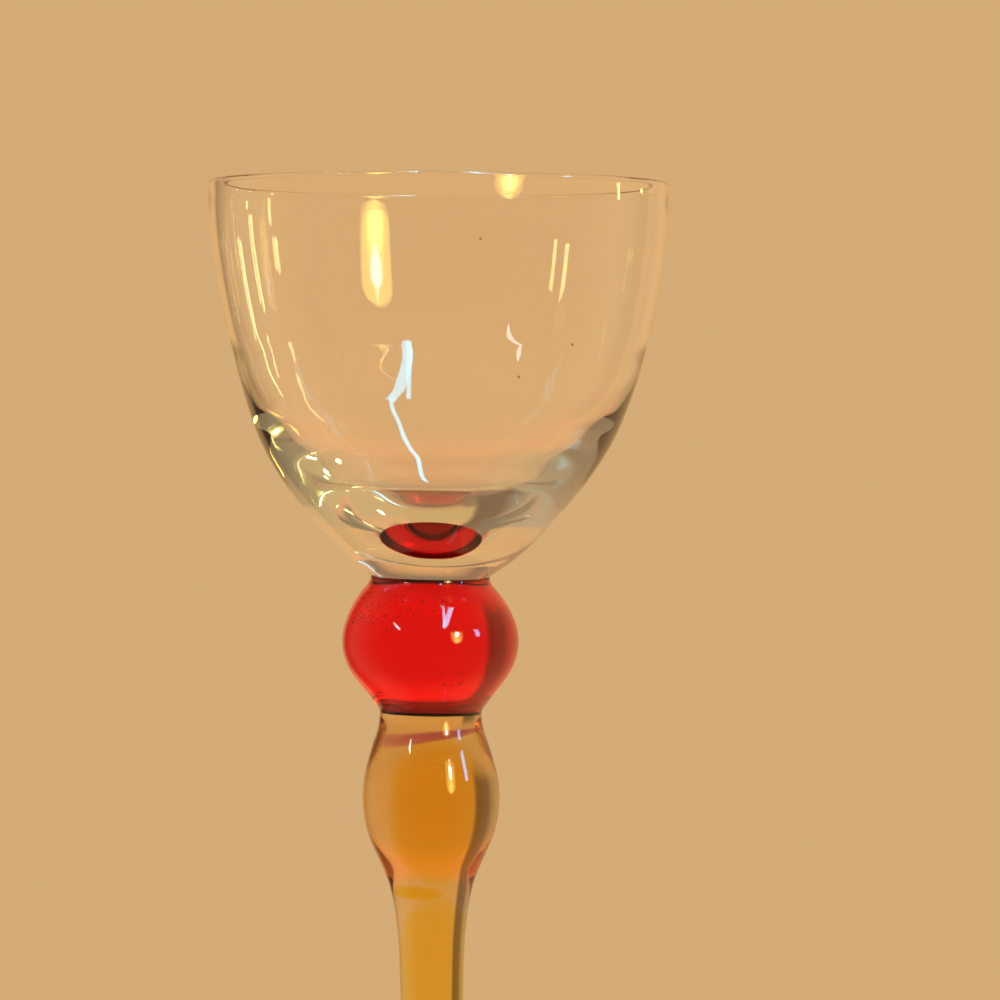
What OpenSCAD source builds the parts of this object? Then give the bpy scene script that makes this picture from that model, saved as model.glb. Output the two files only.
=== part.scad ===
// Hand-made cordial glass: a clear bowl with a heavy solid base, a ruby knop, an amber
// baluster stem over a core of deeper amber, and a clear foot, all fused while hot.
// Millimetres, +Z up, origin at the centre of the resting plane under the foot.

/* [Overall] */
// Height from the table to the rim
total_h = 150; // [135:1:175]

/* [Bowl] */
// Outer diameter at the rim
rim_d = 55; // [50:0.5:60]
// Height of the bowl from its seam on the knop to the rim
bowl_h = 47.3; // [43:0.1:52]
// Diameter of the bowl's underside where it sits on the knop
neck_d = 13.9; // [12:0.1:14.2]
// Wall between the base and the rim
wall_t = 0.95; // [0.8:0.05:1.4]
// Thickness of the rounded lip
lip_t = 1; // [0.9:0.05:1.4]
// Solid glass under the cup's floor
base_t = 5.25; // [4.5:0.05:9]
// Angle by which the hand-set bowl leans off plumb, towards +X
bowl_lean = 1; // [0:0.1:1.5]

/* [Ruby knop] */
// Diameter at the belly
knop_d = 21.3; // [19:0.1:24]
// Height from the stem's seam to the bowl's seam
knop_h = 16.3; // [14:0.1:19]
// Diameter at the top, under the bowl
knop_top_d = 14.4; // [14.3:0.1:16]
// Diameter at the waist, where ruby meets amber
waist_d = 12.2; // [11:0.1:14]

/* [Amber stem] */
// Diameter of the bulb below the waist
bulb_d = 16.6; // [15:0.1:19]
// Distance from the waist down to the widest part of the bulb
bulb_drop = 10.2; // [8:0.1:13]
// Length over which the bulb runs out into the drawn stem
bulb_tail = 20; // [16:0.5:24]
// Diameter of the drawn stem just under the bulb
stem_top_d = 7.8; // [7:0.1:9]
// Diameter of the drawn stem at its thinnest
stem_min_d = 6.6; // [5.8:0.1:6.9]
// Diameter of the flared end that is fused to the foot
stem_base_d = 11; // [9:0.1:13]
// Length of that flare
stem_flare = 13; // [9:0.5:18]

/* [Amber core] */
// Diameter of the deeper amber core in the bulb
core_d = 7.6; // [6:0.1:9]
// Distance from the waist down to the top of the core
core_drop = 3.7; // [2.5:0.1:5]
// Diameter where the core is nipped, under the bulb
core_nip_d = 1.4; // [1:0.1:2.4]
// Paler glass over the core along the drawn stem
skin_t = 1; // [0.8:0.05:1.2]
// How far the core lies off the stem's axis, towards +X
core_off = 0.4; // [0:0.05:0.5]

/* [Foot] */
// Diameter of the foot
foot_d = 60; // [56:0.5:68]
// Height of the foot at its centre, under the stem
foot_h = 5.4; // [4.5:0.1:7]
// Thickness of the foot at its rounded edge
foot_edge_t = 2.4; // [2:0.1:3]
// Width of the flat ring that the glass rests on
rest_w = 3.4; // [2:0.1:5]
// Height of the hollow under the foot's centre
kick_h = 1.3; // [0.8:0.1:2]
// Diameter of the ground pontil mark under the foot
pontil_d = 13; // [9:0.5:16]
// Depth that the pontil mark is ground into the hollow
pontil_cut = 0.35; // [0.2:0.05:0.6]

/* [Hidden] */
$fn = 96;
// Points drawn between two stations of an outline
curve_steps = 5;
// Points on a quarter of a round edge
edge_steps = 6;

// Seams between the pieces, and the length that is left for the stem
rim_r = rim_d / 2;
knop_seat_z = total_h - bowl_h * cos(bowl_lean) - knop_h;
bowl_seat_z = knop_seat_z + knop_h;
stem_l = knop_seat_z - foot_h;

// Bowl, outside: height over the seam as a share of bowl_h, and how far the wall has
// spread from the neck to the rim as a share of that spread
bowl_shares = [
    [0, 0], [0.017, 0.056], [0.055, 0.161], [0.131, 0.332], [0.207, 0.488], [0.283, 0.613],
    [0.359, 0.707], [0.436, 0.774], [0.588, 0.874], [0.74, 0.948], [0.86, 0.988], [0.95, 1]
];
// Cup, inside: height over the floor as a share of the cup's depth, and radius as a share
// of the mouth's radius. Above the base the wall's own thickness sets the radius.
cup_shares = [
    [0, 0], [0.0155, 0.15], [0.057, 0.301], [0.106, 0.433], [0.163, 0.554], [0.215, 0.636],
    [0.251, 0.69], [0.287, 0.732], [0.334, 0.782], [0.405, 0.834], [0.477, 0.874],
    [0.548, 0.908], [0.65, 0.955], [0.8, 1.01], [0.94, 1.04]
];
// Ruby knop: height of the belly as a share of knop_h
belly_share = 0.52;
// Knop below its belly: height as a share of the way from waist to belly, and swell as a
// share of the swell there. A short neck stands over the waist.
knop_lower_shares = [
    [0, 0], [0.05, 0.03], [0.1, 0.09], [0.165, 0.185], [0.25, 0.305], [0.36, 0.475],
    [0.48, 0.65], [0.61, 0.808], [0.74, 0.912], [0.88, 0.982], [1, 1]
];
// Knop above its belly: height as a share of the way up to the bowl, and what is left of
// the swell. Another short neck stands under the bowl.
knop_upper_shares = [
    [0.15, 0.975], [0.3, 0.893], [0.45, 0.762], [0.57, 0.625], [0.66, 0.5], [0.74, 0.375],
    [0.81, 0.25], [0.87, 0.135], [0.92, 0.055], [0.96, 0.015], [1, 0]
];
// Bulb above its belly: drop from the waist as a share of bulb_drop, and swell as a share
// of the swell from waist to belly
shoulder_shares = [
    [0, 0], [0.15, 0.07], [0.3, 0.3], [0.44, 0.5], [0.63, 0.745], [0.81, 0.93], [1, 1]
];
// Bulb below its belly: drop as a share of bulb_tail, and what is left of the swell
tail_shares = [
    [0.1, 0.968], [0.195, 0.88], [0.29, 0.718], [0.385, 0.518], [0.48, 0.335],
    [0.58, 0.205], [0.675, 0.125], [0.82, 0.055], [1, 0]
];
// Drawn stem: where it is thinnest, as a share of the run between the bulb and the flare
thin_share = 0.75;
// Flare: rise over the foot as a share of stem_flare, and what is left of the swell
flare_shares = [[1, 0], [0.62, 0.06], [0.36, 0.2], [0.18, 0.42], [0.07, 0.68], [0, 1]];
// Core above its belly: drop from its top as a share of the way to the bulb's belly, and
// radius as a share of its radius there
head_shares = [[0, 0], [0.02, 0.2], [0.08, 0.42], [0.22, 0.66], [0.5, 0.88], [1, 1]];
// Core below its belly: drop as a share of the way to the nip, and what is left of the swell
waning_shares = [[0.3, 0.98], [0.54, 0.83], [0.74, 0.53], [0.88, 0.2], [1, 0]];
// Core under the nip: drop as a share of the way to the end of the bulb's tail, and how far
// it has widened towards the skin
waxing_shares = [[0.14, 0.2], [0.29, 0.6], [0.47, 0.87], [0.7, 0.98], [1, 1]];
// Where the core is nipped, as a share of bulb_tail under the belly
nip_share = 0.525;
// Top of the foot: radius as a share of the run from the edge to the stem, and rise as a
// share of the rise from the edge to the stem
foot_shares = [[0, 0], [0.25, 0.11], [0.5, 0.26], [0.7, 0.43], [0.86, 0.66], [0.95, 0.86], [1, 1]];
// Hollow under the foot: radius as a share of the ring's inner radius, height as a share
// of kick_h
kick_shares = [[1, 0], [0.85, 0.24], [0.65, 0.53], [0.4, 0.83]];

// One point of a smooth curve between b and c, where a and d are the stations beside them
function between(a, b, c, d, t) =
    (2 * b + (c - a) * t + (2 * a - 5 * b + 4 * c - d) * t * t
        + (3 * b - a - 3 * c + d) * t * t * t) / 2;

// A smooth curve through a list of stations
function smooth(stations) = let (last = len(stations) - 1) concat(
    [for (i = [0:last - 1], j = [0:curve_steps - 1]) between(
        stations[max(i - 1, 0)], stations[i], stations[i + 1],
        stations[min(i + 2, last)], j / curve_steps)],
    [stations[last]]);

// Points of a round edge about a centre, from one angle to another
function edge_arc(centre, r, from, to) = [for (i = [0:2 * edge_steps])
    let (a = from + (to - from) * i / (2 * edge_steps)) centre + r * [cos(a), sin(a)]];

// Outside of the bowl, from the neck to where the lip starts
bowl_outside = let (spread = rim_r - neck_d / 2, lip_z = bowl_h - lip_t / 2) smooth(
    [for (s = bowl_shares) [neck_d / 2 + spread * s[1], min(bowl_h * s[0], lip_z)]]);
wall_by_height = [for (p = bowl_outside) [p.y, p.x]];

// Inside of the cup, from where the lip ends down to the floor's centre
cup_depth = bowl_h - base_t;
mouth_r = rim_r - wall_t;
cup_inside = [for (p = smooth([for (i = [len(cup_shares) - 1:-1:0])
        [mouth_r * cup_shares[i][1], base_t + cup_depth * cup_shares[i][0]]]))
    [min(p.x, lookup(p.y, wall_by_height) - wall_t), p.y]];

module bowl() {
    lip_r = lip_t / 2;
    lip = edge_arc([rim_r - lip_r, bowl_h - lip_r], lip_r, 0, 180);
    color([0.86, 0.9, 0.86, 0.4])
    translate([0, 0, bowl_seat_z])
    rotate([0, bowl_lean, 0])
    rotate_extrude()
    polygon(concat([[0, 0]], bowl_outside, lip, cup_inside));
}

module ruby_knop() {
    seat_rise = knop_top_d / 2 * tan(bowl_lean);
    belly_z = knop_h * belly_share;
    lower = [for (s = knop_lower_shares)
        [waist_d / 2 + (knop_d - waist_d) / 2 * s[1], belly_z * s[0]]];
    upper = [for (s = knop_upper_shares)
        [knop_top_d / 2 + (knop_d - knop_top_d) / 2 * s[1], belly_z + (knop_h - belly_z) * s[0]]];
    top_z = knop_h + seat_rise;
    color([0.86, 0.03, 0.07, 0.75])
    translate([0, 0, knop_seat_z])
    difference() {
        rotate_extrude()
        polygon(concat([[0, 0]], smooth(concat(lower, upper)), [[knop_top_d / 2, top_z], [0, top_z]]));
        // the seat lies square to the leaning bowl
        translate([0, 0, knop_h])
        rotate([0, bowl_lean, 0])
        translate([-knop_d / 2, -knop_d / 2, 0])
        cube(knop_d);
    }
}

// Heights along the stem over the foot, and the stations of its lower outline, which the core
// follows at skin_t inside
belly_z = stem_l - bulb_drop;
tail_z = belly_z - bulb_tail;
thinnest = [stem_min_d / 2, stem_flare + (tail_z - stem_flare) * (1 - thin_share)];
flare = [for (s = flare_shares)
    [stem_min_d / 2 + (stem_base_d - stem_min_d) / 2 * s[1], stem_flare * s[0]]];

module amber_stem() {
    shoulder = [for (s = shoulder_shares)
        [waist_d / 2 + (bulb_d - waist_d) / 2 * s[1], stem_l - bulb_drop * s[0]]];
    tail = [for (s = tail_shares)
        [stem_top_d / 2 + (bulb_d - stem_top_d) / 2 * s[1], belly_z - bulb_tail * s[0]]];
    color([0.95, 0.72, 0.35, 0.5])
    translate([0, 0, foot_h])
    difference() {
        rotate_extrude()
        polygon(concat([[0, stem_l]], smooth(concat(shoulder, tail, [thinnest], flare)), [[0, 0]]));
        // the cut for the core runs on past the stem's end
        core_shape(-foot_h);
    }
}

module amber_core() {
    color([0.88, 0.5, 0.05, 0.8])
    translate([0, 0, foot_h])
    core_shape(0);
}

// The core down to a height over the foot: a head in the bulb, a nip, and a rod in the stem
module core_shape(end_z) {
    core_r = core_d / 2;
    nip_r = core_nip_d / 2;
    nip_z = belly_z - bulb_tail * nip_share;
    rod_r = stem_top_d / 2 - skin_t;
    head_l = bulb_drop - core_drop;
    head = [for (s = head_shares) [core_r * s[1], belly_z + head_l * (1 - s[0])]];
    waning = [for (s = waning_shares)
        [nip_r + (core_r - nip_r) * s[1], belly_z + (nip_z - belly_z) * s[0]]];
    waxing = [for (s = waxing_shares)
        [nip_r + (rod_r - nip_r) * s[1], nip_z + (tail_z - nip_z) * s[0]]];
    rod = [for (p = concat([thinnest], flare)) [p.x - skin_t, p.y]];
    end_r = stem_base_d / 2 - skin_t;
    translate([core_off, 0, 0])
    rotate_extrude()
    polygon(concat(smooth(concat(head, waning, waxing, rod)), [[end_r, end_z], [0, end_z]]));
}

module foot() {
    edge_r = foot_edge_t / 2;
    edge_x = foot_d / 2 - edge_r;
    ring_r = edge_x - rest_w;
    top_run = edge_x - stem_base_d / 2;
    top_rise = foot_h - foot_edge_t;
    // the pontil mark is a shallow dish, part of a large ball
    dish_r = (pow(pontil_d / 2, 2) + pow(pontil_cut, 2)) / (2 * pontil_cut);
    top = [for (s = foot_shares) [edge_x - top_run * s[0], foot_edge_t + top_rise * s[1]]];
    hollow = [for (i = [len(kick_shares) - 1:-1:0])
        [ring_r * kick_shares[i][0], kick_h * kick_shares[i][1]]];
    color([0.86, 0.9, 0.86, 0.4])
    difference() {
        rotate_extrude()
        polygon(concat(
            edge_arc([edge_x, edge_r], edge_r, -90, 90),
            smooth(top),
            [[0, foot_h], [0, kick_h]],
            smooth(concat([[0, kick_h]], hollow))));
        translate([0, 0, kick_h + pontil_cut - dish_r])
        sphere(dish_r);
    }
}

bowl();
ruby_knop();
amber_stem();
amber_core();
foot();
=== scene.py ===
import math
import random

import bpy
import mathutils
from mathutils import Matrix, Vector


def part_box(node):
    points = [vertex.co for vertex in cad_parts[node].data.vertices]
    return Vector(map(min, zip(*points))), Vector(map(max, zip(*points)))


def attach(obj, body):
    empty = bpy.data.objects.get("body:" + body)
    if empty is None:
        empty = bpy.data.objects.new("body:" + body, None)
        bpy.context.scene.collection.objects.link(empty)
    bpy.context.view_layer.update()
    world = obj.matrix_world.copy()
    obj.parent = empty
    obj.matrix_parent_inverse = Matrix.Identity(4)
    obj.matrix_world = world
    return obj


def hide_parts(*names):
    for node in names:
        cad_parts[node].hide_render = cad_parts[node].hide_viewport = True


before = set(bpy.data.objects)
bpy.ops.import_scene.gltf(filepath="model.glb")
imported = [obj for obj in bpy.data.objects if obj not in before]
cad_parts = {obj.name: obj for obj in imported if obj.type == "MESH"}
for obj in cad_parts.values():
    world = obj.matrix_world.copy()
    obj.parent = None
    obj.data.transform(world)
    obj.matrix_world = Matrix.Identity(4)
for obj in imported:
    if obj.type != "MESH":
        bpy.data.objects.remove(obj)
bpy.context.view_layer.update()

bpy.ops.object.select_all(action="DESELECT")

# Bowl
# A bubble of clear glass, blown and then opened out to a thin lip, which is melted round in
# the flame. Its base is left as a thick solid, and the knop is dropped onto it while it is hot.

knop_low, knop_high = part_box("ruby_knop")
bowl_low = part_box("bowl")[0]
# Each of two fused gathers stops this far short of the seam between them
SEAM_GAP = 0.00002
UPPER_SEAM = (knop_high[2] + bowl_low[2]) / 2
UPPER_TILT = math.radians(1.3)
RIM_TILT = math.radians(0.5)
BOWL_HEIGHT = 0.0473
RIM_RADIUS = 0.0275
NECK_RADIUS = 0.00705
BASE_THICKNESS = 0.00525
WALL_THICKNESS = 0.00095
LIP_THICKNESS = 0.001
# The even wall stops this far above the cup's own curve
WALL_CLEAR = 0.002
ROUND_SIDES = 96
# Turn from ring to ring round a melted edge, in degrees
EDGE_STEP = 30
SMOOTHING = 2
CREASE_ANGLE = math.radians(35)

# The bowl's axis steps off towards +X at the seam, and then wanders on. Where each move ends
# or starts, and where the tilt has eased to the rim's, are shares of the bowl's height.
AXIS_STEP = 0.00045
STEP_END = 0.08
AXIS_WANDER = 0.0007
WANDER_START = 0.12
WANDER_RUN = 0.45
TILT_END = 0.2

# Height over the seam as a share of the bowl's height, and spread from neck to rim
BOWL_OUTSIDE_SHARES = [
    (0.018, 0.055), (0.05, 0.148), (0.095, 0.258), (0.15, 0.374), (0.207, 0.487),
    (0.283, 0.612), (0.359, 0.707), (0.436, 0.774), (0.51, 0.828), (0.588, 0.874),
    (0.664, 0.915), (0.74, 0.949), (0.816, 0.976), (0.88, 0.992), (0.94, 1.0),
]
# Height over the cup's floor as a share of its depth, and radius as a share of the mouth's
CUP_SHARES = [
    (0.0005, 0.03), (0.0035, 0.075), (0.0155, 0.15), (0.034, 0.226), (0.057, 0.301),
    (0.081, 0.369), (0.106, 0.433), (0.134, 0.494), (0.163, 0.554), (0.189, 0.597),
    (0.215, 0.6365), (0.251, 0.6895), (0.287, 0.7325), (0.334, 0.7815), (0.37, 0.81),
    (0.405, 0.834), (0.44, 0.855), (0.477, 0.874), (0.512, 0.891), (0.548, 0.908),
]
# Specks caught in the near wall: turn off -Y towards +X, then height and spread as above
SPECKS = [(39.3, 0.588, 0.874), (23.6, 0.51, 0.828), (11.0, 0.84, 0.982)]
SPECK_RADIUS = 0.00015

REFRACTIVE_INDEX = 1.5
# The flame leaves a faint ripple all over
RIPPLE_STRENGTH = 0.3
RIPPLE_DETAIL = 1.5
# Cords are the faint ridges that drawing leaves, and they run along the glass
CORD_SCALE = 420.0
CORD_DETAIL = 1.0
CORD_STRETCH = (1, 1, 0.06)
# Wiping leaves smears, which dull the polish a little
SMEAR_SCALE = 340.0
SMEAR_DETAIL = 4.0
SMEAR_FROM = 0.5
SMEAR_TO = 0.8
SMEAR_ROUGHNESS = 0.02
# What each surface lets through of the light that falls past it onto the table
LETS_PAST = (0.88, 0.89, 0.88, 1)
# What one metre of the glass takes out of red, green and blue
CLEAR_ABSORBS = (3.0, 1.2, 3.5)


def eased(share):
    """0 to 1 with a soft start and end."""
    share = min(max(share, 0.0), 1.0)
    return share * share * (3 - 2 * share)


def drawn_out(rings):
    """Moves each ring out a little, because smoothing will pull it in by as much."""
    moved = [rings[0]]
    for before, ring, after in zip(rings, rings[1:], rings[2:]):
        moved.append(tuple(b - (a - 2 * b + c) / 6 for a, b, c in zip(before, ring, after)))
    return moved + [rings[-1]]


def turned(name, rings, axis_at):
    """A solid of glass drawn ring by ring from (height, radius) pairs, closed at both ends."""
    height, radius = rings[0]
    bpy.ops.object.select_all(action="DESELECT")
    bpy.ops.mesh.primitive_circle_add(
        vertices=ROUND_SIDES, radius=radius, fill_type="NGON", enter_editmode=True)
    piece = bpy.context.object
    piece.name = name
    shift, tilt = axis_at(height)
    bpy.ops.transform.translate(value=(shift, 0, height))
    bpy.ops.transform.rotate(value=-tilt, orient_axis="Y", center_override=(shift, 0, height))
    for new_height, new_radius in rings[1:]:
        new_shift, new_tilt = axis_at(new_height)
        move = (new_shift - shift, 0, new_height - height)
        centre = (new_shift, 0, new_height)
        bpy.ops.mesh.extrude_region_move(TRANSFORM_OT_translate={"value": move})
        bpy.ops.transform.rotate(
            value=tilt - new_tilt, orient_axis="Y", center_override=centre)
        grow = new_radius / radius
        bpy.ops.transform.resize(value=(grow, grow, grow), center_override=centre)
        height, radius, shift, tilt = new_height, new_radius, new_shift, new_tilt
    bpy.ops.mesh.select_all(action="SELECT")
    bpy.ops.mesh.normals_make_consistent(inside=False)
    bpy.ops.object.mode_set(mode="OBJECT")
    return piece


def fused(piece, *seams):
    """Marks the flat end faces at these heights as fused to the next glass, with crisp rims."""
    bpy.ops.geometry.attribute_add(name="fused", domain="FACE", data_type="FLOAT")
    bpy.ops.object.mode_set(mode="EDIT")
    bpy.ops.mesh.select_mode(type="FACE")
    bpy.ops.mesh.select_all(action="DESELECT")
    bpy.ops.object.mode_set(mode="OBJECT")
    marks = piece.data.attributes["fused"].data
    for face in piece.data.polygons:
        wide = len(face.vertices) == ROUND_SIDES
        face.select = wide and any(abs(face.center.z - seam) < 2 * SEAM_GAP for seam in seams)
        marks[face.index].value = float(face.select)
    bpy.ops.object.mode_set(mode="EDIT")
    bpy.ops.mesh.region_to_loop()
    bpy.ops.transform.edge_crease(value=1.0)
    bpy.ops.object.mode_set(mode="OBJECT")


def fire_polished(piece):
    """Rounds the rings and the outline into one smooth surface, as the flame does."""
    bpy.ops.object.modifier_add(type="SUBSURF")
    modifier = piece.modifiers[-1]
    modifier.levels = SMOOTHING
    modifier.render_levels = SMOOTHING
    bpy.ops.object.modifier_apply(modifier=modifier.name)
    bpy.ops.object.shade_smooth_by_angle(angle=CREASE_ANGLE)


def glass(name, absorbs, ripple_scale, ripple_depth, cord_depth):
    """Clear or coloured glass. absorbs is how much red, green and blue one metre takes out."""
    material = bpy.data.materials.new(name)
    material.use_nodes = True
    nodes, links = material.node_tree.nodes, material.node_tree.links
    nodes.clear()
    place = nodes.new("ShaderNodeTexCoord")
    waves = nodes.new("ShaderNodeTexNoise")
    waves.inputs["Scale"].default_value = ripple_scale
    waves.inputs["Detail"].default_value = RIPPLE_DETAIL
    links.new(place.outputs["Object"], waves.inputs["Vector"])
    bump = nodes.new("ShaderNodeBump")
    bump.inputs["Strength"].default_value = RIPPLE_STRENGTH
    bump.inputs["Distance"].default_value = ripple_depth
    links.new(waves.outputs["Fac"], bump.inputs["Height"])
    drawn = nodes.new("ShaderNodeMapping")
    drawn.inputs["Scale"].default_value = CORD_STRETCH
    links.new(place.outputs["Object"], drawn.inputs["Vector"])
    cords = nodes.new("ShaderNodeTexNoise")
    cords.inputs["Scale"].default_value = CORD_SCALE
    cords.inputs["Detail"].default_value = CORD_DETAIL
    links.new(drawn.outputs["Vector"], cords.inputs["Vector"])
    ridges = nodes.new("ShaderNodeBump")
    ridges.inputs["Strength"].default_value = RIPPLE_STRENGTH
    ridges.inputs["Distance"].default_value = cord_depth
    links.new(cords.outputs["Fac"], ridges.inputs["Height"])
    links.new(bump.outputs["Normal"], ridges.inputs["Normal"])
    smears = nodes.new("ShaderNodeTexNoise")
    smears.inputs["Scale"].default_value = SMEAR_SCALE
    smears.inputs["Detail"].default_value = SMEAR_DETAIL
    links.new(place.outputs["Object"], smears.inputs["Vector"])
    wiped = nodes.new("ShaderNodeMapRange")
    wiped.inputs["From Min"].default_value = SMEAR_FROM
    wiped.inputs["From Max"].default_value = SMEAR_TO
    wiped.inputs["To Min"].default_value = 0.0
    wiped.inputs["To Max"].default_value = SMEAR_ROUGHNESS
    links.new(smears.outputs["Fac"], wiped.inputs["Value"])
    mark = nodes.new("ShaderNodeAttribute")
    mark.attribute_name = "fused"
    free = nodes.new("ShaderNodeMath")
    free.operation = "SUBTRACT"
    free.inputs[0].default_value = 1.0
    links.new(mark.outputs["Fac"], free.inputs[1])
    body = nodes.new("ShaderNodeBsdfPrincipled")
    body.inputs["Base Color"].default_value = (1, 1, 1, 1)
    body.inputs["IOR"].default_value = REFRACTIVE_INDEX
    body.inputs["Transmission Weight"].default_value = 1.0
    links.new(wiped.outputs["Result"], body.inputs["Roughness"])
    links.new(ridges.outputs["Normal"], body.inputs["Normal"])
    links.new(free.outputs["Value"], body.inputs["Alpha"])
    # Light that falls on the table beyond the glass goes straight through it
    path = nodes.new("ShaderNodeLightPath")
    open_way = nodes.new("ShaderNodeBsdfTransparent")
    open_way.inputs["Color"].default_value = LETS_PAST
    lighting = nodes.new("ShaderNodeMath")
    lighting.operation = "MAXIMUM"
    links.new(path.outputs["Is Shadow Ray"], lighting.inputs[0])
    links.new(path.outputs["Is Diffuse Ray"], lighting.inputs[1])
    mixed = nodes.new("ShaderNodeMixShader")
    links.new(lighting.outputs["Value"], mixed.inputs["Fac"])
    links.new(body.outputs["BSDF"], mixed.inputs[1])
    links.new(open_way.outputs["BSDF"], mixed.inputs[2])
    tint = nodes.new("ShaderNodeVolumeAbsorption")
    strongest = max(absorbs)
    tint.inputs["Density"].default_value = strongest
    tint.inputs["Color"].default_value = tuple(1 - a / strongest for a in absorbs) + (1,)
    out = nodes.new("ShaderNodeOutputMaterial")
    links.new(mixed.outputs["Shader"], out.inputs["Surface"])
    links.new(tint.outputs["Volume"], out.inputs["Volume"])
    return material


def seeded(piece, spots):
    """Leaves small gas bubbles in the glass: hollows whose faces look inwards."""
    bpy.ops.object.select_all(action="DESELECT")
    bpy.ops.mesh.primitive_ico_sphere_add(subdivisions=2, radius=1.0, enter_editmode=True)
    bpy.ops.mesh.flip_normals()
    bpy.ops.object.mode_set(mode="OBJECT")
    bpy.ops.object.shade_smooth()
    first = bpy.context.object
    for place, radius in spots:
        seed = first.copy()
        seed.data = first.data.copy()
        seed.location = place
        seed.scale = (radius, radius, radius)
        bpy.context.collection.objects.link(seed)
        seed.select_set(True)
    first.select_set(False)
    piece.select_set(True)
    bpy.context.view_layer.objects.active = piece
    bpy.ops.object.join()
    bpy.data.objects.remove(first)


def bowl_axis(height):
    """How far the hand-set bowl has wandered towards +X at a height, and its tilt there."""
    up = (height - UPPER_SEAM) / BOWL_HEIGHT
    wander = AXIS_STEP * eased(up / STEP_END)
    wander += AXIS_WANDER * eased((up - WANDER_START) / WANDER_RUN)
    return wander, UPPER_TILT + (RIM_TILT - UPPER_TILT) * eased(up / TILT_END)


def bowl_rings():
    """The bowl's outline from the seam, up the outside, round the lip and down the cup."""
    spread = RIM_RADIUS - NECK_RADIUS
    base = UPPER_SEAM + SEAM_GAP
    outside = [(base, NECK_RADIUS)]
    outside += [
        (base + BOWL_HEIGHT * h, NECK_RADIUS + spread * s) for h, s in BOWL_OUTSIDE_SHARES]
    lip_r = LIP_THICKNESS / 2
    lip_z = base + BOWL_HEIGHT - lip_r
    lip_x = RIM_RADIUS - lip_r
    lip = []
    for turn in range(0, 181, EDGE_STEP):
        angle = math.radians(turn)
        lip.append((lip_z + lip_r * math.sin(angle), lip_x + lip_r * math.cos(angle)))
    floor = base + BASE_THICKNESS
    depth = BOWL_HEIGHT - BASE_THICKNESS
    mouth = RIM_RADIUS - WALL_THICKNESS
    cup = [(floor + depth * h, mouth * s) for h, s in reversed(CUP_SHARES)]
    wall_foot = cup[0][0] + WALL_CLEAR
    wall = [(z, r - WALL_THICKNESS) for z, r in reversed(outside) if z > wall_foot]
    return outside + lip + wall + cup


def speck_spots():
    """Places for the specks, halfway through the bowl's wall."""
    spots = []
    for turn, rise, spread in SPECKS:
        turn = math.radians(turn)
        height = UPPER_SEAM + BOWL_HEIGHT * rise
        reach = NECK_RADIUS + (RIM_RADIUS - NECK_RADIUS) * spread - WALL_THICKNESS / 2
        wander = bowl_axis(height)[0]
        place = (wander + reach * math.sin(turn), -reach * math.cos(turn), height)
        spots.append((place, SPECK_RADIUS))
    return spots


bowl = turned("bowl_glass", drawn_out(bowl_rings()), bowl_axis)
fused(bowl, UPPER_SEAM + SEAM_GAP)
fire_polished(bowl)
seeded(bowl, speck_spots())
clear_glass = glass(
    "clear_glass", CLEAR_ABSORBS, ripple_scale=90.0, ripple_depth=0.000012, cord_depth=0.000004)
bowl.data.materials.append(clear_glass)
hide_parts("bowl")
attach(bowl, "root")

# Ruby knop
# A solid ball of red glass, gathered on the base of the bowl and rolled round while it is soft.

LOWER_SEAM = knop_low[2]
LOWER_TILT = math.radians(1.2)
KNOP_RADIUS = (knop_high[0] - knop_low[0]) / 2
KNOP_TOP_RADIUS = 0.00715
WAIST_RADIUS = 0.00612
BELLY_SHARE = 0.52
RUBY_ABSORBS = (1.0, 330.0, 270.0)

# Height as a share of the way from waist to belly, and swell; a short neck stands at the seam
KNOP_LOWER_SHARES = [
    (0.0, 0.0), (0.05, 0.03), (0.1, 0.09), (0.165, 0.185), (0.25, 0.305), (0.36, 0.475),
    (0.48, 0.65), (0.61, 0.808), (0.74, 0.912), (0.88, 0.982), (1.0, 1.0),
]
# Height as a share of the way from belly to top, and what is left of the swell
KNOP_UPPER_SHARES = [
    (0.15, 0.975), (0.3, 0.893), (0.45, 0.762), (0.57, 0.625), (0.66, 0.5), (0.74, 0.375),
    (0.81, 0.25), (0.87, 0.135), (0.92, 0.055), (0.96, 0.015), (1.0, 0.0),
]

# Seeds, the small gas bubbles, lie in a shell just under the knop's surface
SEED_SHELL = 0.0093
SEED_DEPTHS = (0.82, 0.97)
SEED_RADII = (0.00007, 0.00015)
SEED_DRAW = 7
# How many seeds, and between which turns off -Y towards +X and which rises, in degrees
SEED_GROUPS = [
    (95, (-85, 20), (12, 44)), (14, (5, 60), (-42, -15)), (22, (60, 260), (-35, 42)),
    (50, (-85, 0), (12, 44)),
]


def knop_axis(height):
    """The knop stands true, but its two seams lie at their own tilts."""
    up = (height - LOWER_SEAM) / (UPPER_SEAM - LOWER_SEAM)
    return 0.0, LOWER_TILT * eased(1 - up / 0.5) + UPPER_TILT * eased(up / 0.5 - 1)


def knop_rings():
    """The knop's outline from the waist over the belly to the bowl."""
    low, high = LOWER_SEAM + SEAM_GAP, UPPER_SEAM - SEAM_GAP
    belly = low + (high - low) * BELLY_SHARE
    swell = KNOP_RADIUS - WAIST_RADIUS
    rings = [(low + (belly - low) * h, WAIST_RADIUS + swell * s) for h, s in KNOP_LOWER_SHARES]
    swell = KNOP_RADIUS - KNOP_TOP_RADIUS
    rings += [
        (belly + (high - belly) * h, KNOP_TOP_RADIUS + swell * s) for h, s in KNOP_UPPER_SHARES]
    return rings


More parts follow.
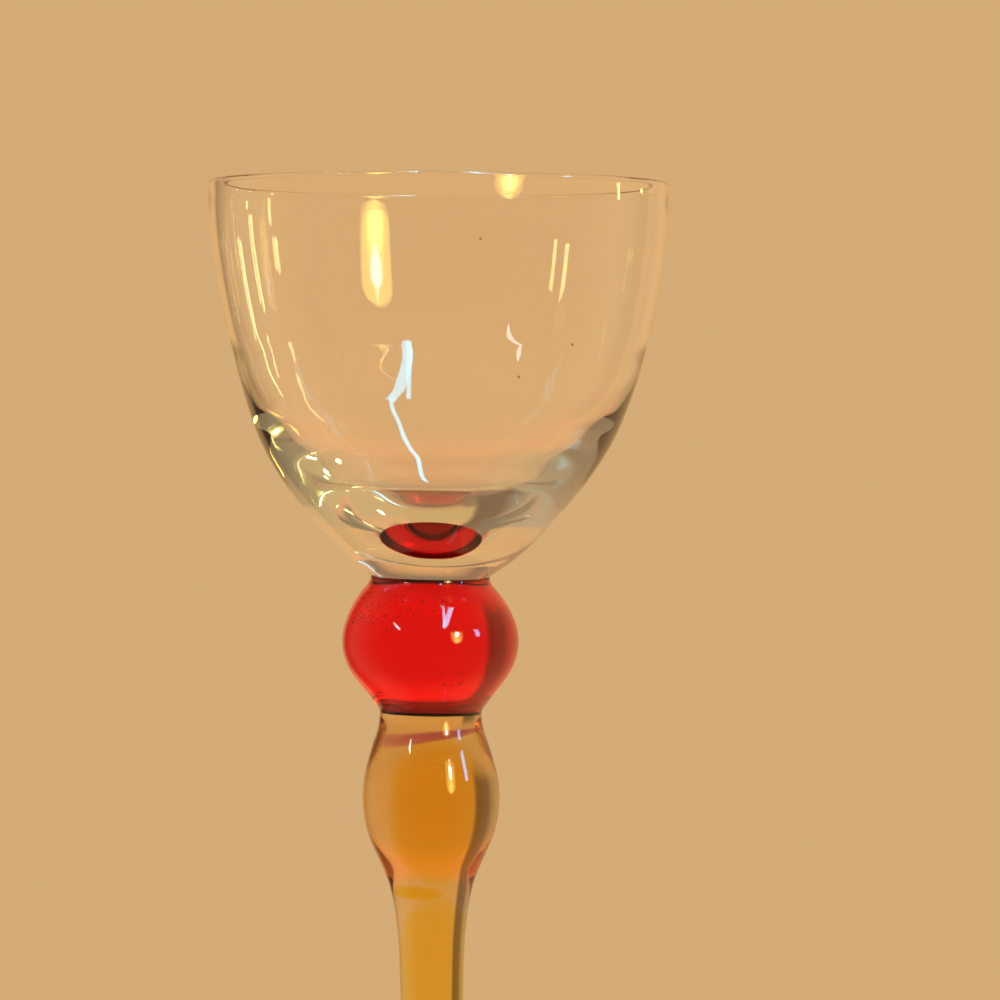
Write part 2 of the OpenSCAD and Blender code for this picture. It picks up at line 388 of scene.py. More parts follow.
def seed_spots():
    """Places and sizes for the seeds, drawn group by group."""
    draw = random.Random(SEED_DRAW)
    middle = LOWER_SEAM + (UPPER_SEAM - LOWER_SEAM) * BELLY_SHARE
    spots = []
    for count, turns, rises in SEED_GROUPS:
        for _ in range(count):
            turn = math.radians(draw.uniform(*turns))
            rise = math.radians(draw.uniform(*rises))
            reach = SEED_SHELL * draw.uniform(*SEED_DEPTHS)
            place = (
                reach * math.sin(turn) * math.cos(rise),
                -reach * math.cos(turn) * math.cos(rise),
                middle + reach * math.sin(rise))
            spots.append((place, draw.uniform(*SEED_RADII)))
    return spots


knop = turned("ruby_knop_glass", drawn_out(knop_rings()), knop_axis)
fused(knop, LOWER_SEAM + SEAM_GAP, UPPER_SEAM - SEAM_GAP)
fire_polished(knop)
seeded(knop, seed_spots())
knop.data.materials.append(glass(
    "ruby_glass", RUBY_ABSORBS, ripple_scale=120.0, ripple_depth=0.00002, cord_depth=0.000002))
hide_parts("ruby_knop")
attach(knop, "root")

# Amber stem
# Pale amber glass over a deeper core, drawn down from the knop while it is hot: a bulb that runs
# out into a thin stem, which spreads again where it is pressed onto the foot.

stem_low, stem_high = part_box("amber_stem")
FOOT_TOP = stem_low[2]
BULB_RADIUS = (stem_high[0] - stem_low[0]) / 2
BULB_DROP = 0.0102
BULB_TAIL = 0.02
STEM_TOP_RADIUS = 0.0039
STEM_THIN_RADIUS = 0.0033
STEM_BASE_RADIUS = 0.0055
STEM_FLARE = 0.013
THIN_SHARE = 0.75
AMBER_ABSORBS = (10.0, 36.0, 105.0)

# Drop from the waist as a share of BULB_DROP, and swell from waist to belly
SHOULDER_SHARES = [
    (0.0, 0.0), (0.15, 0.07), (0.3, 0.28), (0.45, 0.51), (0.63, 0.745), (0.81, 0.93), (1.0, 1.0),
]
# Drop from the belly as a share of BULB_TAIL, and what is left of the swell
TAIL_SHARES = [
    (0.1, 0.968), (0.195, 0.88), (0.29, 0.718), (0.385, 0.518), (0.48, 0.335), (0.58, 0.205),
    (0.69, 0.118), (0.82, 0.055), (1.0, 0.0),
]
# Rise over the foot as a share of STEM_FLARE, and what is left of the swell
FLARE_SHARES = [
    (1.0, 0.0), (0.8, 0.015), (0.62, 0.06), (0.48, 0.12), (0.36, 0.2), (0.26, 0.3),
    (0.18, 0.42), (0.12, 0.55), (0.065, 0.7), (0.025, 0.86), (0.0, 1.0),
]


def stem_axis(height):
    """The stem hangs true from the knop, and only its top seam is tilted."""
    down = (LOWER_SEAM - height) / BULB_DROP
    return 0.0, LOWER_TILT * eased(1 - down)


def stem_rings():
    """The stem's outline from the waist down to the foot."""
    top = LOWER_SEAM - SEAM_GAP
    belly = top - BULB_DROP
    swell = BULB_RADIUS - WAIST_RADIUS
    rings = [(top - BULB_DROP * d, WAIST_RADIUS + swell * s) for d, s in SHOULDER_SHARES]
    swell = BULB_RADIUS - STEM_TOP_RADIUS
    rings += [(belly - BULB_TAIL * d, STEM_TOP_RADIUS + swell * s) for d, s in TAIL_SHARES]
    drawn_from, drawn_to = belly - BULB_TAIL, FOOT_TOP + STEM_FLARE
    thin = drawn_from + (drawn_to - drawn_from) * THIN_SHARE
    middle = (drawn_from + thin) / 2
    rings.append((middle, (STEM_TOP_RADIUS + STEM_THIN_RADIUS) / 2))
    rings.append((thin, STEM_THIN_RADIUS))
    swell = STEM_BASE_RADIUS - STEM_THIN_RADIUS
    low = FOOT_TOP + SEAM_GAP
    rings += [(low + STEM_FLARE * d, STEM_THIN_RADIUS + swell * s) for d, s in FLARE_SHARES]
    return rings


stem = turned("amber_stem_glass", drawn_out(stem_rings()), stem_axis)
fused(stem, LOWER_SEAM - SEAM_GAP, FOOT_TOP + SEAM_GAP)
fire_polished(stem)
stem.data.materials.append(glass(
    "amber_glass", AMBER_ABSORBS, ripple_scale=120.0, ripple_depth=0.00002, cord_depth=0.000003))
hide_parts("amber_stem")
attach(stem, "root")

# Amber core
# The first gather of the stem, of deeper amber, which was then cased in the paler glass. It was
# nipped where the stem was drawn off the bulb, and it lies a little off the middle.

core_low, core_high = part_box("amber_core")
CORE_OFF = (core_low[0] + core_high[0]) / 2
CORE_RADIUS = 0.0038
CORE_DROP = LOWER_SEAM - core_high[2]
CORE_NIP_RADIUS = 0.0007
SKIN_THICKNESS = 0.001
NIP_SHARE = 0.525
DEEP_AMBER_ABSORBS = (0.0, 26.0, 290.0)

# Drop from the core's top as a share of the way to the bulb's belly, and radius
CORE_HEAD_SHARES = [
    (0.004, 0.08), (0.02, 0.2), (0.08, 0.42), (0.22, 0.66), (0.5, 0.88), (1.0, 1.0),
]
# Drop from the belly as a share of the way to the nip, and what is left of the swell
CORE_WANING_SHARES = [(0.3, 0.98), (0.54, 0.83), (0.74, 0.53), (0.88, 0.2), (1.0, 0.0)]
# Drop from the nip as a share of the way to the end of the tail, and swell towards the skin
CORE_WAXING_SHARES = [(0.14, 0.2), (0.29, 0.6), (0.47, 0.87), (0.7, 0.98), (1.0, 1.0)]


def core_axis(height):
    """The core stands plumb, a little off the stem's own axis."""
    return CORE_OFF, 0.0


def core_rings():
    """The core's outline from its round head in the bulb down to the foot."""
    belly = LOWER_SEAM - SEAM_GAP - BULB_DROP
    top = LOWER_SEAM - CORE_DROP
    nip = belly - BULB_TAIL * NIP_SHARE
    tail = belly - BULB_TAIL
    rod = STEM_TOP_RADIUS - SKIN_THICKNESS
    rings = [(top - (top - belly) * d, CORE_RADIUS * s) for d, s in CORE_HEAD_SHARES]
    swell = CORE_RADIUS - CORE_NIP_RADIUS
    rings += [
        (belly - (belly - nip) * d, CORE_NIP_RADIUS + swell * s) for d, s in CORE_WANING_SHARES]
    swell = rod - CORE_NIP_RADIUS
    rings += [
        (nip - (nip - tail) * d, CORE_NIP_RADIUS + swell * s) for d, s in CORE_WAXING_SHARES]
    below = [(z, r - SKIN_THICKNESS) for z, r in stem_rings() if z < tail - SEAM_GAP]
    return rings + below


def within_glass(name, absorbs):
    """Colour inside glass of the same kind, where light passes on without bending."""
    material = bpy.data.materials.new(name)
    material.use_nodes = True
    nodes, links = material.node_tree.nodes, material.node_tree.links
    nodes.clear()
    open_way = nodes.new("ShaderNodeBsdfTransparent")
    tint = nodes.new("ShaderNodeVolumeAbsorption")
    strongest = max(absorbs)
    tint.inputs["Density"].default_value = strongest
    tint.inputs["Color"].default_value = tuple(1 - a / strongest for a in absorbs) + (1,)
    out = nodes.new("ShaderNodeOutputMaterial")
    links.new(open_way.outputs["BSDF"], out.inputs["Surface"])
    links.new(tint.outputs["Volume"], out.inputs["Volume"])
    return material


core = turned("amber_core_glass", drawn_out(core_rings()), core_axis)
fire_polished(core)
core.data.materials.append(within_glass("deep_amber_glass", DEEP_AMBER_ABSORBS))
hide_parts("amber_core")
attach(core, "root")

# Wisps
# A pinkish sheet high in the bulb is a painted reflection: it stands in for the knop's red, seen
# bent through the amber.
# A little deep amber was left at the nip. Each spread out as a thin uneven sheet.

WISP_SIDES = 20
WISP_RINGS = 10
WISP_UNEVENNESS = 0.05
WISP_DRAW = 3
WISP_NOD = math.radians(-4)
# Painted reflection of the knop's red in the bulb: the pinkish sheet's size, place and what it
# takes out
KNOP_REFLECTION_RADIUS = 0.0052
KNOP_REFLECTION_PLACE = (-0.0002, 0.0, LOWER_SEAM - 0.0034)
KNOP_REFLECTION_ABSORBS = (50.0, 165.0, 30.0)
NIP = LOWER_SEAM - SEAM_GAP - BULB_DROP - BULB_TAIL * NIP_SHARE
AMBER_WISP_RADIUS = 0.0023
AMBER_WISP_PLACE = (-0.0012, 0.0, NIP - 0.0005)
AMBER_WISP_ABSORBS = (0.0, 35.0, 550.0)


def wisp(name, radius, flatness, lean, place, absorbs):
    """A thin uneven sheet of colour inside the glass. lean is its dip towards +X, in degrees."""
    bpy.ops.object.select_all(action="DESELECT")
    bpy.ops.mesh.primitive_uv_sphere_add(
        segments=WISP_SIDES, ring_count=WISP_RINGS, radius=radius)
    sheet = bpy.context.object
    sheet.name = name
    sheet.scale = (1.0, 1.0, flatness)
    bpy.ops.object.transform_apply(location=False, rotation=False, scale=True)
    bpy.ops.object.mode_set(mode="EDIT")
    bpy.ops.mesh.select_all(action="SELECT")
    bpy.ops.transform.vertex_random(offset=radius * WISP_UNEVENNESS, seed=WISP_DRAW)
    bpy.ops.object.mode_set(mode="OBJECT")
    sheet.rotation_euler = (WISP_NOD, math.radians(lean), 0)
    sheet.location = place
    bpy.ops.object.transform_apply(location=True, rotation=True, scale=False)
    fire_polished(sheet)
    sheet.data.materials.append(within_glass(name + "_glass", absorbs))
    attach(sheet, "root")
    return sheet


# Painted reflection: a pinkish sheet standing in for the knop's red seen bent through the amber
painted_knop_reflection = wisp(
    "painted_knop_reflection", KNOP_REFLECTION_RADIUS, flatness=0.12, lean=-12,
    place=KNOP_REFLECTION_PLACE, absorbs=KNOP_REFLECTION_ABSORBS)
amber_wisp = wisp(
    "amber_wisp", AMBER_WISP_RADIUS, flatness=0.42, lean=5,
    place=AMBER_WISP_PLACE, absorbs=AMBER_WISP_ABSORBS)

# Painted shade at the knop's seams
# Thin dark-red discs lie inside the knop at each seam. They are painted shade: they stand in for
# the dark line that light, bent and mirrored at the seams, leaves there, and being thin they show
# only along the glass, as a dark line at each seam.

# For each seam: its height, tilt and radius, the rise of the painted shade's middle over it, the
# shade's thickness, and what one metre of it takes out of red, green and blue
SHADES = [
    ("low", LOWER_SEAM, LOWER_TILT, WAIST_RADIUS, 0.0003, 0.0005, (1200.0, 900.0, 900.0)),
    ("high", UPPER_SEAM, UPPER_TILT, KNOP_TOP_RADIUS, -0.00046, 0.0008, (150.0, 700.0, 700.0)),
]
SHADE_INSET = 0.0002
SHADE_ROUNDING = 0.45
SHADE_ROUNDING_STEPS = 3

for end, seam, tilt, radius, rise, thickness, absorbs in SHADES:
    bpy.ops.object.select_all(action="DESELECT")
    bpy.ops.mesh.primitive_cylinder_add(
        vertices=ROUND_SIDES, radius=radius - SHADE_INSET, depth=thickness,
        end_fill_type="NGON", rotation=(0, tilt, 0), location=(0, 0, seam + rise))
    shade = bpy.context.object
    shade.name = "ruby_seam_shade_" + end
    bpy.ops.object.transform_apply(location=True, rotation=True, scale=True)
    bpy.ops.object.modifier_add(type="BEVEL")
    bevel = shade.modifiers[-1]
    bevel.width = thickness * SHADE_ROUNDING
    bevel.segments = SHADE_ROUNDING_STEPS
    bpy.ops.object.modifier_apply(modifier=bevel.name)
    bpy.ops.object.shade_smooth()
    # This material paints shade: a dark-red absorber standing in for the dark line light leaves at
    # the seam
    shade.data.materials.append(within_glass("painted_seam_shade_" + end, absorbs))
    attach(shade, "root")

# Foot
# A disc of clear glass, spun out flat, with a melted edge and a hollow underneath, where the
# mark of the iron that held it has been ground and polished away.

foot_low, foot_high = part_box("foot")
FOOT_RADIUS = (foot_high[0] - foot_low[0]) / 2
FOOT_EDGE = 0.0024
REST_WIDTH = 0.0034
KICK_HEIGHT = 0.0013
PONTIL_RADIUS = 0.0065
PONTIL_CUT = 0.00035
# The foot's rounded edge begins at this turn up from level, in degrees, and ends straight down
EDGE_BEGINS = 60
EDGE_ENDS = -90
# Height of the mark's own edge, as a share of KICK_HEIGHT
PONTIL_EDGE_SHARE = 0.9

# Radius as a share of the run from the stem to the edge, and drop as a share of the drop
FOOT_SHARES = [
    (0.0, 0.0), (0.025, 0.08), (0.06, 0.165), (0.12, 0.29), (0.2, 0.43), (0.32, 0.59),
    (0.5, 0.75), (0.7, 0.87), (0.87, 0.955), (0.97, 0.995),
]
# Radius as a share of the ring's inner radius, and height as a share of KICK_HEIGHT
KICK_SHARES = [(0.97, 0.03), (0.85, 0.24), (0.65, 0.53), (0.45, 0.77)]
# Radius as a share of PONTIL_RADIUS, and rise over the kick as a share of PONTIL_CUT
PONTIL_SHARES = [(0.85, 0.3), (0.5, 0.8), (0.17, 1.0)]


def foot_rings():
    """The foot's outline from the stem out to the edge, under it and in to the middle."""
    edge_r = FOOT_EDGE / 2
    edge_x = FOOT_RADIUS - edge_r
    top = FOOT_TOP - SEAM_GAP
    run, drop = edge_x - STEM_BASE_RADIUS, top - FOOT_EDGE
    rings = [(top - drop * d, STEM_BASE_RADIUS + run * s) for s, d in FOOT_SHARES]
    for turn in range(EDGE_BEGINS, EDGE_ENDS - 1, -EDGE_STEP):
        angle = math.radians(turn)
        rings.append((edge_r + edge_r * math.sin(angle), edge_x + edge_r * math.cos(angle)))
    inner = edge_x - REST_WIDTH
    rings += [(0.0, edge_x - REST_WIDTH / 2), (0.0, inner)]
    rings += [(KICK_HEIGHT * h, inner * s) for s, h in KICK_SHARES]
    rings += [(KICK_HEIGHT * PONTIL_EDGE_SHARE, PONTIL_RADIUS)]
    rings += [(KICK_HEIGHT + PONTIL_CUT * h, PONTIL_RADIUS * s) for s, h in PONTIL_SHARES]
    return rings


def upright(height):
    """No wander and no tilt."""
    return 0.0, 0.0


# Drawing out would push the resting ring a hair under the table, so it is held at its top
on_table = [(max(height, 0.0), radius) for height, radius in drawn_out(foot_rings())]
foot = turned("foot_glass", on_table, upright)
fused(foot, FOOT_TOP - SEAM_GAP)
fire_polished(foot)
foot.data.materials.append(clear_glass)
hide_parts("foot")
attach(foot, "root")

# Studio
# A pale warm floor that runs out of sight into a backdrop of the same colour, in soft light from
# all round.

BACKDROP = (0.66, 0.41, 0.185)
FLOOR_RADIUS = 0.34
FLOOR_SIDES = 128
# Between these radii the floor fades into the backdrop
FADE_FROM = 0.14
FADE_TO = 0.33
# The light on the floor is strong and warm, so its paper has this much of the backdrop's colour
FLOOR_SHARES = (0.85, 0.91, 1.0)

bpy.ops.object.select_all(action="DESELECT")
bpy.ops.mesh.primitive_circle_add(
    vertices=FLOOR_SIDES, radius=FLOOR_RADIUS, fill_type="NGON", location=(0, 0, 0))
floor = bpy.context.object
floor.name = "floor"
paper = bpy.data.materials.new("paper_floor")
paper.use_nodes = True
nodes, links = paper.node_tree.nodes, paper.node_tree.links
nodes.clear()
place = nodes.new("ShaderNodeTexCoord")
length = nodes.new("ShaderNodeVectorMath")
length.operation = "LENGTH"
links.new(place.outputs["Object"], length.inputs[0])
away = nodes.new("ShaderNodeMapRange")
away.interpolation_type = "SMOOTHSTEP"
away.inputs["From Min"].default_value = FADE_FROM
away.inputs["From Max"].default_value = FADE_TO
links.new(length.outputs["Value"], away.inputs["Value"])
near = nodes.new("ShaderNodeBsdfDiffuse")
paper_colour = tuple(c * s for c, s in zip(BACKDROP, FLOOR_SHARES))
near.inputs["Color"].default_value = paper_colour + (1,)
far = nodes.new("ShaderNodeBsdfTransparent")
both = nodes.new("ShaderNodeMixShader")
links.new(away.outputs["Result"], both.inputs["Fac"])
links.new(near.outputs["BSDF"], both.inputs[1])
links.new(far.outputs["BSDF"], both.inputs[2])
out = nodes.new("ShaderNodeOutputMaterial")
links.new(both.outputs["Shader"], out.inputs["Surface"])
floor.data.materials.append(paper)
floor.visible_glossy = False

world = bpy.data.worlds.new("studio")
bpy.context.scene.world = world
world.use_nodes = True
nodes, links = world.node_tree.nodes, world.node_tree.links
nodes.clear()
path = nodes.new("ShaderNodeLightPath")
seen = nodes.new("ShaderNodeMath")
seen.operation = "ADD"
seen.use_clamp = True
links.new(path.outputs["Is Camera Ray"], seen.inputs[0])
links.new(path.outputs["Is Glossy Ray"], seen.inputs[1])
seen_through = nodes.new("ShaderNodeMath")
seen_through.operation = "ADD"
seen_through.use_clamp = True
links.new(seen.outputs["Value"], seen_through.inputs[0])
links.new(path.outputs["Is Transmission Ray"], seen_through.inputs[1])
way = nodes.new("ShaderNodeTexCoord")
parts = nodes.new("ShaderNodeSeparateXYZ")
links.new(way.outputs["Generated"], parts.inputs[0])
# What the glass bends and mirrors of the studio: turn in degrees off +Y towards +X, and the
# colour there
BEHIND = (0.74, 0.43, 0.175)
ROOM = [
    (-180, (0.3, 0.2, 0.12)), (-110, (0.3, 0.2, 0.12)), (-90, (0.42, 0.3, 0.18)),
    (-72, (0.52, 0.38, 0.23)), (-58, (0.46, 0.34, 0.2)), (-50, (0.34, 0.23, 0.14)),
    (-45, (0.22, 0.13, 0.07)), (-32, (0.22, 0.13, 0.07)), (-28, (0.72, 0.42, 0.17)),
    (-8, BEHIND), (20, BEHIND), (23, (0.76, 0.45, 0.2)), (45, (0.74, 0.45, 0.21)),
    (60, (0.74, 0.46, 0.22)), (80, (0.7, 0.45, 0.21)), (105, (0.4, 0.27, 0.15)),
    (180, (0.3, 0.2, 0.12)),
]
# Well above and below the bowl the studio catches the lamps, and is brighter and redder. Rises
# are given as the upward part of a way of length one.
CATCHES = (1.35, 1.05, 1.0)
CATCHES_FROM = 0.22
CATCHES_TO = 0.5
OVERHEAD = (0.26, 0.18, 0.11)
OVERHEAD_FROM = 0.5
OVERHEAD_TO = 0.9
# The soft light from all round, which falls on the floor
SOFT_LIGHT = (1, 0.97, 0.93)
SOFT_STRENGTH = 0.6
turn = nodes.new("ShaderNodeMath")
turn.operation = "ARCTAN2"
links.new(parts.outputs["X"], turn.inputs[0])
links.new(parts.outputs["Y"], turn.inputs[1])
share = nodes.new("ShaderNodeMapRange")
share.inputs["From Min"].default_value = -math.pi
share.inputs["From Max"].default_value = math.pi
links.new(turn.outputs["Value"], share.inputs["Value"])
round_about = nodes.new("ShaderNodeValToRGB")
ramp = round_about.color_ramp
for stop, (angle, colour) in enumerate(ROOM):
    position = (angle + 180) / 360
    if stop in (0, len(ROOM) - 1):
        element = ramp.elements[0 if stop == 0 else -1]
        element.position = position
    else:
        element = ramp.elements.new(position)
    element.color = colour + (1,)
links.new(share.outputs["Result"], round_about.inputs["Fac"])
either_way = nodes.new("ShaderNodeMath")
either_way.operation = "ABSOLUTE"
links.new(parts.outputs["Z"], either_way.inputs[0])
caught = nodes.new("ShaderNodeMapRange")
caught.interpolation_type = "SMOOTHSTEP"
caught.inputs["From Min"].default_value = CATCHES_FROM
caught.inputs["From Max"].default_value = CATCHES_TO
links.new(either_way.outputs["Value"], caught.inputs["Value"])
lit = nodes.new("ShaderNodeMix")
lit.data_type = "RGBA"
lit.blend_type = "MULTIPLY"
lit.inputs["B"].default_value = CATCHES + (1,)
links.new(caught.outputs["Result"], lit.inputs["Factor"])
links.new(round_about.outputs["Color"], lit.inputs["A"])
height = nodes.new("ShaderNodeMapRange")
height.interpolation_type = "SMOOTHSTEP"
height.inputs["From Min"].default_value = OVERHEAD_FROM
height.inputs["From Max"].default_value = OVERHEAD_TO
links.new(parts.outputs["Z"], height.inputs["Value"])
room = nodes.new("ShaderNodeMix")
room.data_type = "RGBA"
links.new(height.outputs["Result"], room.inputs["Factor"])
links.new(lit.outputs["Result"], room.inputs["A"])
room.inputs["B"].default_value = OVERHEAD + (1,)
light = nodes.new("ShaderNodeBackground")
light.inputs["Color"].default_value = SOFT_LIGHT + (1,)
light.inputs["Strength"].default_value = SOFT_STRENGTH
plain = nodes.new("ShaderNodeMix")
plain.data_type = "RGBA"
links.new(path.outputs["Is Camera Ray"], plain.inputs["Factor"])
links.new(room.outputs["Result"], plain.inputs["A"])
plain.inputs["B"].default_value = BACKDROP + (1,)
view = nodes.new("ShaderNodeBackground")
links.new(plain.outputs["Result"], view.inputs["Color"])
mix = nodes.new("ShaderNodeMixShader")
links.new(seen_through.outputs["Value"], mix.inputs["Fac"])
links.new(light.outputs["Background"], mix.inputs[1])
links.new(view.outputs["Background"], mix.inputs[2])
out = nodes.new("ShaderNodeOutputWorld")
links.new(mix.outputs["Shader"], out.inputs["Surface"])

# Lamps
# A large soft box overhead, and smaller and narrower ones round the glass. Each of those is placed
# where its face makes one of the bright marks on the bowl: a flame, a cool strip, a warm streak.

# All of them face this height on the glass's axis
LAMPS_FACE = 0.12
LAMP_DISTANCE = 1.1
FLAME_DISTANCE = 1.0
DAYLIGHT = (0.07, 0.67, 1.0)
PALE_DAYLIGHT = (0.8, 0.9, 1.0)
BLUE = (0.05, 0.5, 1.0)
CANDLE = (1.0, 0.74, 0.3)
WHITE = (1.0, 1.0, 1.0)
# Lamps with a narrow face: turn off -Y towards +X, rise, size, level, colour and roll
NARROW_LAMPS = [
    ("cool_strip", 32, 44, (0.11, 0.6), 17.0, DAYLIGHT, -37),
    ("cool_strip_right", 24.5, 43.5, (0.05, 0.54), 17.0, DAYLIGHT, -14),
    ("cool_thread", 93, 74, (0.045, 1.14), 20.0, DAYLIGHT, -69),
    ("cool_left", -48, 28.5, (0.034, 0.25), 26.0, PALE_DAYLIGHT, 62),
    ("blue_spot", 67, 17, (0.12, 0.22), 17.0, BLUE, 0),
    ("candle_one", 103, 9.5, (0.04, 0.2), 26.0, CANDLE, 0),
    ("candle_two", 124, 10, (0.035, 0.14), 24.0, CANDLE, 0),
    ("candle_three", 140, 11, (0.035, 0.12), 24.0, CANDLE, 0),
    ("candle_four", -67, 15.5, (0.04, 0.14), 20.0, CANDLE, 0),
    ("candle_five", -75, 17, (0.05, 0.18), 24.0, CANDLE, 0),
    ("candle_six", -111, 30, (0.03, 0.1), 16.0, CANDLE, 0),
]
# Only a lamp that stands further round than this shows through the glass
SHOWS_THROUGH_PAST = 100

# Up the flame's face from foot to tip: half its width and half its heart's width, as shares of
# the face, and how much it glows between the heart and the edge
FLAME_WIDTHS = [
    (0, 0.16), (0.03, 0.2), (0.1, 0.33), (0.22, 0.44), (0.5, 0.47), (0.9, 0.49), (0.955, 0.42),
    (0.985, 0.28), (1, 0.08),
]
HEART_WIDTHS = [
    (0, 0.004), (0.54, 0.004), (0.62, 0.06), (0.7, 0.13), (0.8, 0.165), (0.86, 0.13),
    (0.9, 0.02), (1, 0.004),
]
FLAME_GLOW = [(0, 1.0), (0.4, 1.0), (0.62, 0.45), (0.85, 0.15), (1, 0.1)]
# Out from the middle: where each part starts and ends to fade, in its own half widths, and its
# level before that
FLAME_EDGE = (0.93, 1.0, 5.0)
FLAME_MIDDLE = (0.1, 0.85, 14.0)
FLAME_HEART = (0.6, 1.2, 60.0)
FLAME_YELLOW = (1.0, 0.72, 0.14, 1)
FLAME_WHITE = (1.0, 0.95, 0.85, 1)
FACE_MIDDLE = 0.5
# Keeps a share of the heart defined where nothing shines
TINY_LEVEL = 0.001

# A lamp kept inside the bowl shows only where light was mirrored once and passed two surfaces, so
# that its mirrorings and half its passes both reach one. One kept to the surface passed none.
HALF = 0.5
NEARLY_ONE = 0.9


def lamp(name, turn, rise, distance, size, level, colour, roll=0):
    """A soft box that faces the bowl: turn off -Y towards +X, rise and roll, in degrees.

    level is how bright its face is, where 1 is a white wall.
    """
    turn, rise = math.radians(turn), math.radians(rise)
    toward = mathutils.Vector((
        math.sin(turn) * math.cos(rise), -math.cos(turn) * math.cos(rise), math.sin(rise)))
    data = bpy.data.lights.new(name, "AREA")
    data.shape = "RECTANGLE"
    data.size, data.size_y = size
    data.energy = level * math.pi * size[0] * size[1]
    data.color = colour
    box = bpy.data.objects.new(name, data)
    bpy.context.collection.objects.link(box)
    box.location = mathutils.Vector((0, 0, LAMPS_FACE)) + toward * distance
    facing = toward.to_track_quat("Z", "Y")
    rolled = mathutils.Quaternion((0, 0, 1), math.radians(roll))
    box.rotation_euler = (facing @ rolled).to_euler()
    box.visible_camera = False
    return box


def flame_face(box):
    """Shapes a lamp's face like a flame: narrow below, round above, with a white heart."""
    box.data.use_nodes = True
    nodes, links = box.data.node_tree.nodes, box.data.node_tree.links
    nodes.clear()

    def math_node(operation, first, second):
        node = nodes.new("ShaderNodeMath")
        node.operation = operation
        for socket, value in zip(node.inputs, (first, second)):
            if isinstance(value, float):
                socket.default_value = value
            else:
                links.new(value, socket)
        return node.outputs["Value"]

    def by_height(points):
        node = nodes.new("ShaderNodeValToRGB")
        stops = node.color_ramp.elements
        for height, level in points[1:-1]:
            stops.new(height).color = (level, level, level, 1)
        for stop, (height, level) in ((stops[0], points[0]), (stops[-1], points[-1])):
            stop.position = height
            stop.color = (level, level, level, 1)
        links.new(split.outputs["Y"], node.inputs["Fac"])
        return node.outputs["Color"]

    def fading(value, start, end, level):
        node = nodes.new("ShaderNodeMapRange")
        node.interpolation_type = "SMOOTHSTEP"
        node.inputs["From Min"].default_value = start
        node.inputs["From Max"].default_value = end
        node.inputs["To Min"].default_value = level
        node.inputs["To Max"].default_value = 0.0
        links.new(value, node.inputs["Value"])
        return node.outputs["Result"]

    face = nodes.new("ShaderNodeNewGeometry")
    split = nodes.new("ShaderNodeSeparateXYZ")
    links.new(face.outputs["Parametric"], split.inputs[0])
    off = math_node("ABSOLUTE", math_node("SUBTRACT", split.outputs["X"], FACE_MIDDLE), 0.0)
    out_from_middle = math_node("DIVIDE", off, by_height(FLAME_WIDTHS))
    out_from_heart = math_node("DIVIDE", off, by_height(HEART_WIDTHS))
    edge = fading(out_from_middle, *FLAME_EDGE)
    middle = math_node("MULTIPLY", fading(out_from_middle, *FLAME_MIDDLE), by_height(FLAME_GLOW))
    heart = fading(out_from_heart, *FLAME_HEART)
    shining = math_node("ADD", heart, math_node("ADD", edge, middle))
    whiteness = math_node("DIVIDE", heart, math_node("ADD", shining, TINY_LEVEL))
    both = nodes.new("ShaderNodeMix")
    both.data_type = "RGBA"
    links.new(whiteness, both.inputs["Factor"])
    both.inputs["A"].default_value = FLAME_YELLOW
    both.inputs["B"].default_value = FLAME_WHITE
    shine = nodes.new("ShaderNodeEmission")
    links.new(both.outputs["Result"], shine.inputs["Color"])
    links.new(shining, shine.inputs["Strength"])
    out = nodes.new("ShaderNodeOutputLight")
    links.new(shine.outputs["Emission"], out.inputs["Surface"])


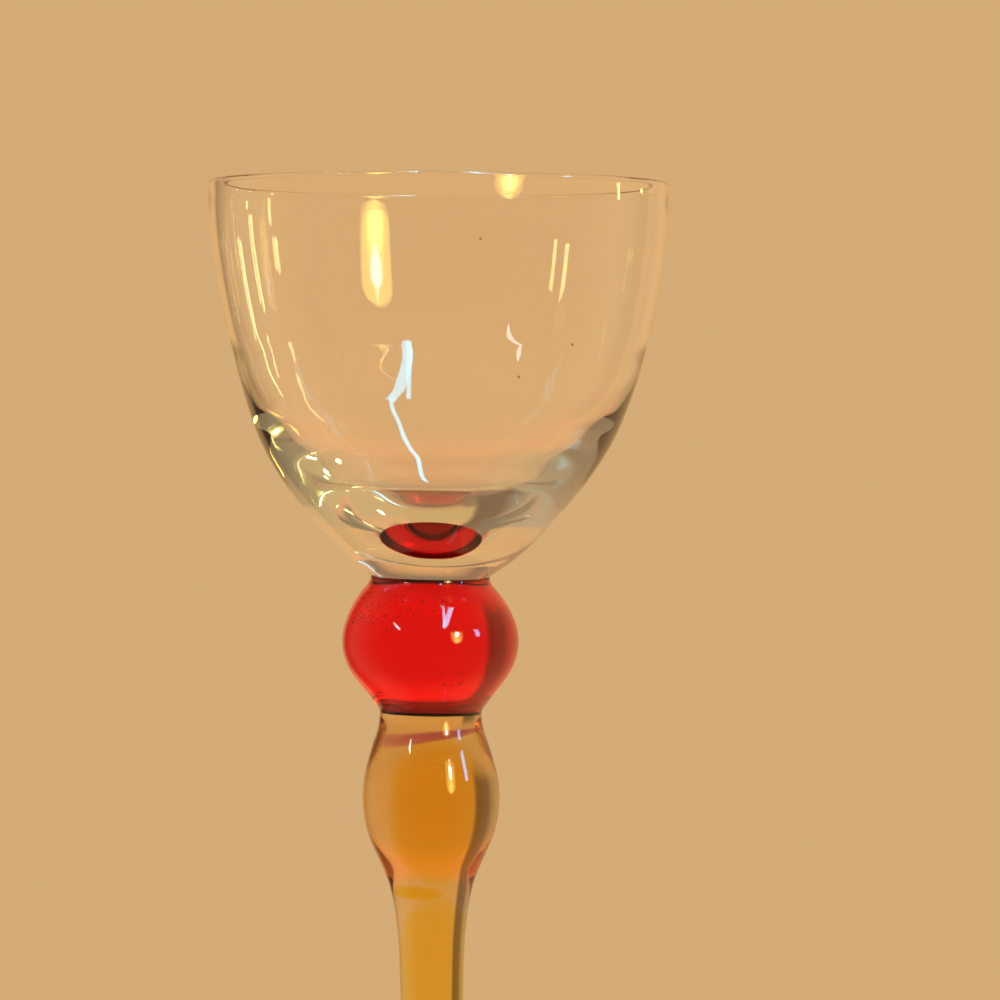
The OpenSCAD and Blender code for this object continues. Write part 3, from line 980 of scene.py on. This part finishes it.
def kept_to(box, how):
    """Keeps a lamp to what is mirrored inside the bowl, or to the first surface it meets."""
    box.data.use_nodes = True
    nodes, links = box.data.node_tree.nodes, box.data.node_tree.links
    nodes.clear()
    path = nodes.new("ShaderNodeLightPath")
    seen = nodes.new("ShaderNodeMath")
    if how == "inside":
        pairs = nodes.new("ShaderNodeMath")
        pairs.operation = "MULTIPLY"
        links.new(path.outputs["Transmission Depth"], pairs.inputs[0])
        pairs.inputs[1].default_value = HALF
        least = nodes.new("ShaderNodeMath")
        least.operation = "MINIMUM"
        links.new(pairs.outputs["Value"], least.inputs[0])
        links.new(path.outputs["Glossy Depth"], least.inputs[1])
        seen.operation = "GREATER_THAN"
        links.new(least.outputs["Value"], seen.inputs[0])
        seen.inputs[1].default_value = NEARLY_ONE
    else:
        seen.operation = "LESS_THAN"
        links.new(path.outputs["Transmission Depth"], seen.inputs[0])
        seen.inputs[1].default_value = HALF
    shine = nodes.new("ShaderNodeEmission")
    links.new(seen.outputs["Value"], shine.inputs["Strength"])
    out = nodes.new("ShaderNodeOutputLight")
    links.new(shine.outputs["Emission"], out.inputs["Surface"])


flame = lamp("warm_box", 36.3, 13.1, FLAME_DISTANCE, (0.31, 0.37), 1.0, WHITE, -6)
flame_face(flame)
for name, turn, rise, size, level, colour, roll in NARROW_LAMPS:
    box = lamp(name, turn, rise, LAMP_DISTANCE, size, level, colour, roll)
    box.visible_transmission = turn > SHOWS_THROUGH_PAST
    box.visible_diffuse = False
    if colour is CANDLE:
        kept_to(box, "inside")
    if colour is BLUE:
        kept_to(box, "surface")
top = lamp("top_box", 0, 88, LAMP_DISTANCE, (0.7, 0.7), 5.0, SOFT_LIGHT)
top.visible_transmission = False
top.visible_glossy = False

# Camera
# It stands close, a little over the middle of the bowl, and looks slightly down on it through a
# long lens.

EYE = (0.0084, -0.46, 0.1287)
DOWN = math.radians(2.09)
ROLL = math.radians(0.15)
HALF_VIEW = math.radians(7.43)
SENSOR_WIDTH = 36

camera = bpy.data.objects.new("camera", bpy.data.cameras.new("camera"))
bpy.context.collection.objects.link(camera)
bpy.context.scene.camera = camera
camera.location = EYE
nodding = mathutils.Matrix.Rotation(math.pi / 2 - DOWN, 4, "X")
rolling = mathutils.Matrix.Rotation(-ROLL, 4, "Z")
camera.rotation_euler = (nodding @ rolling).to_euler()
camera.data.sensor_width = SENSOR_WIDTH
camera.data.lens = SENSOR_WIDTH / 2 / math.tan(HALF_VIEW)
camera.data.clip_start = 0.01
camera.data.clip_end = 10

scene = bpy.context.scene
scene.view_settings.view_transform = "Standard"
# Light crosses many surfaces of glass before it leaves it
scene.cycles.max_bounces = 24
scene.cycles.transmission_bounces = 24
scene.cycles.glossy_bounces = 12
scene.cycles.transparent_max_bounces = 32
scene.cycles.caustics_reflective = False
scene.cycles.caustics_refractive = False
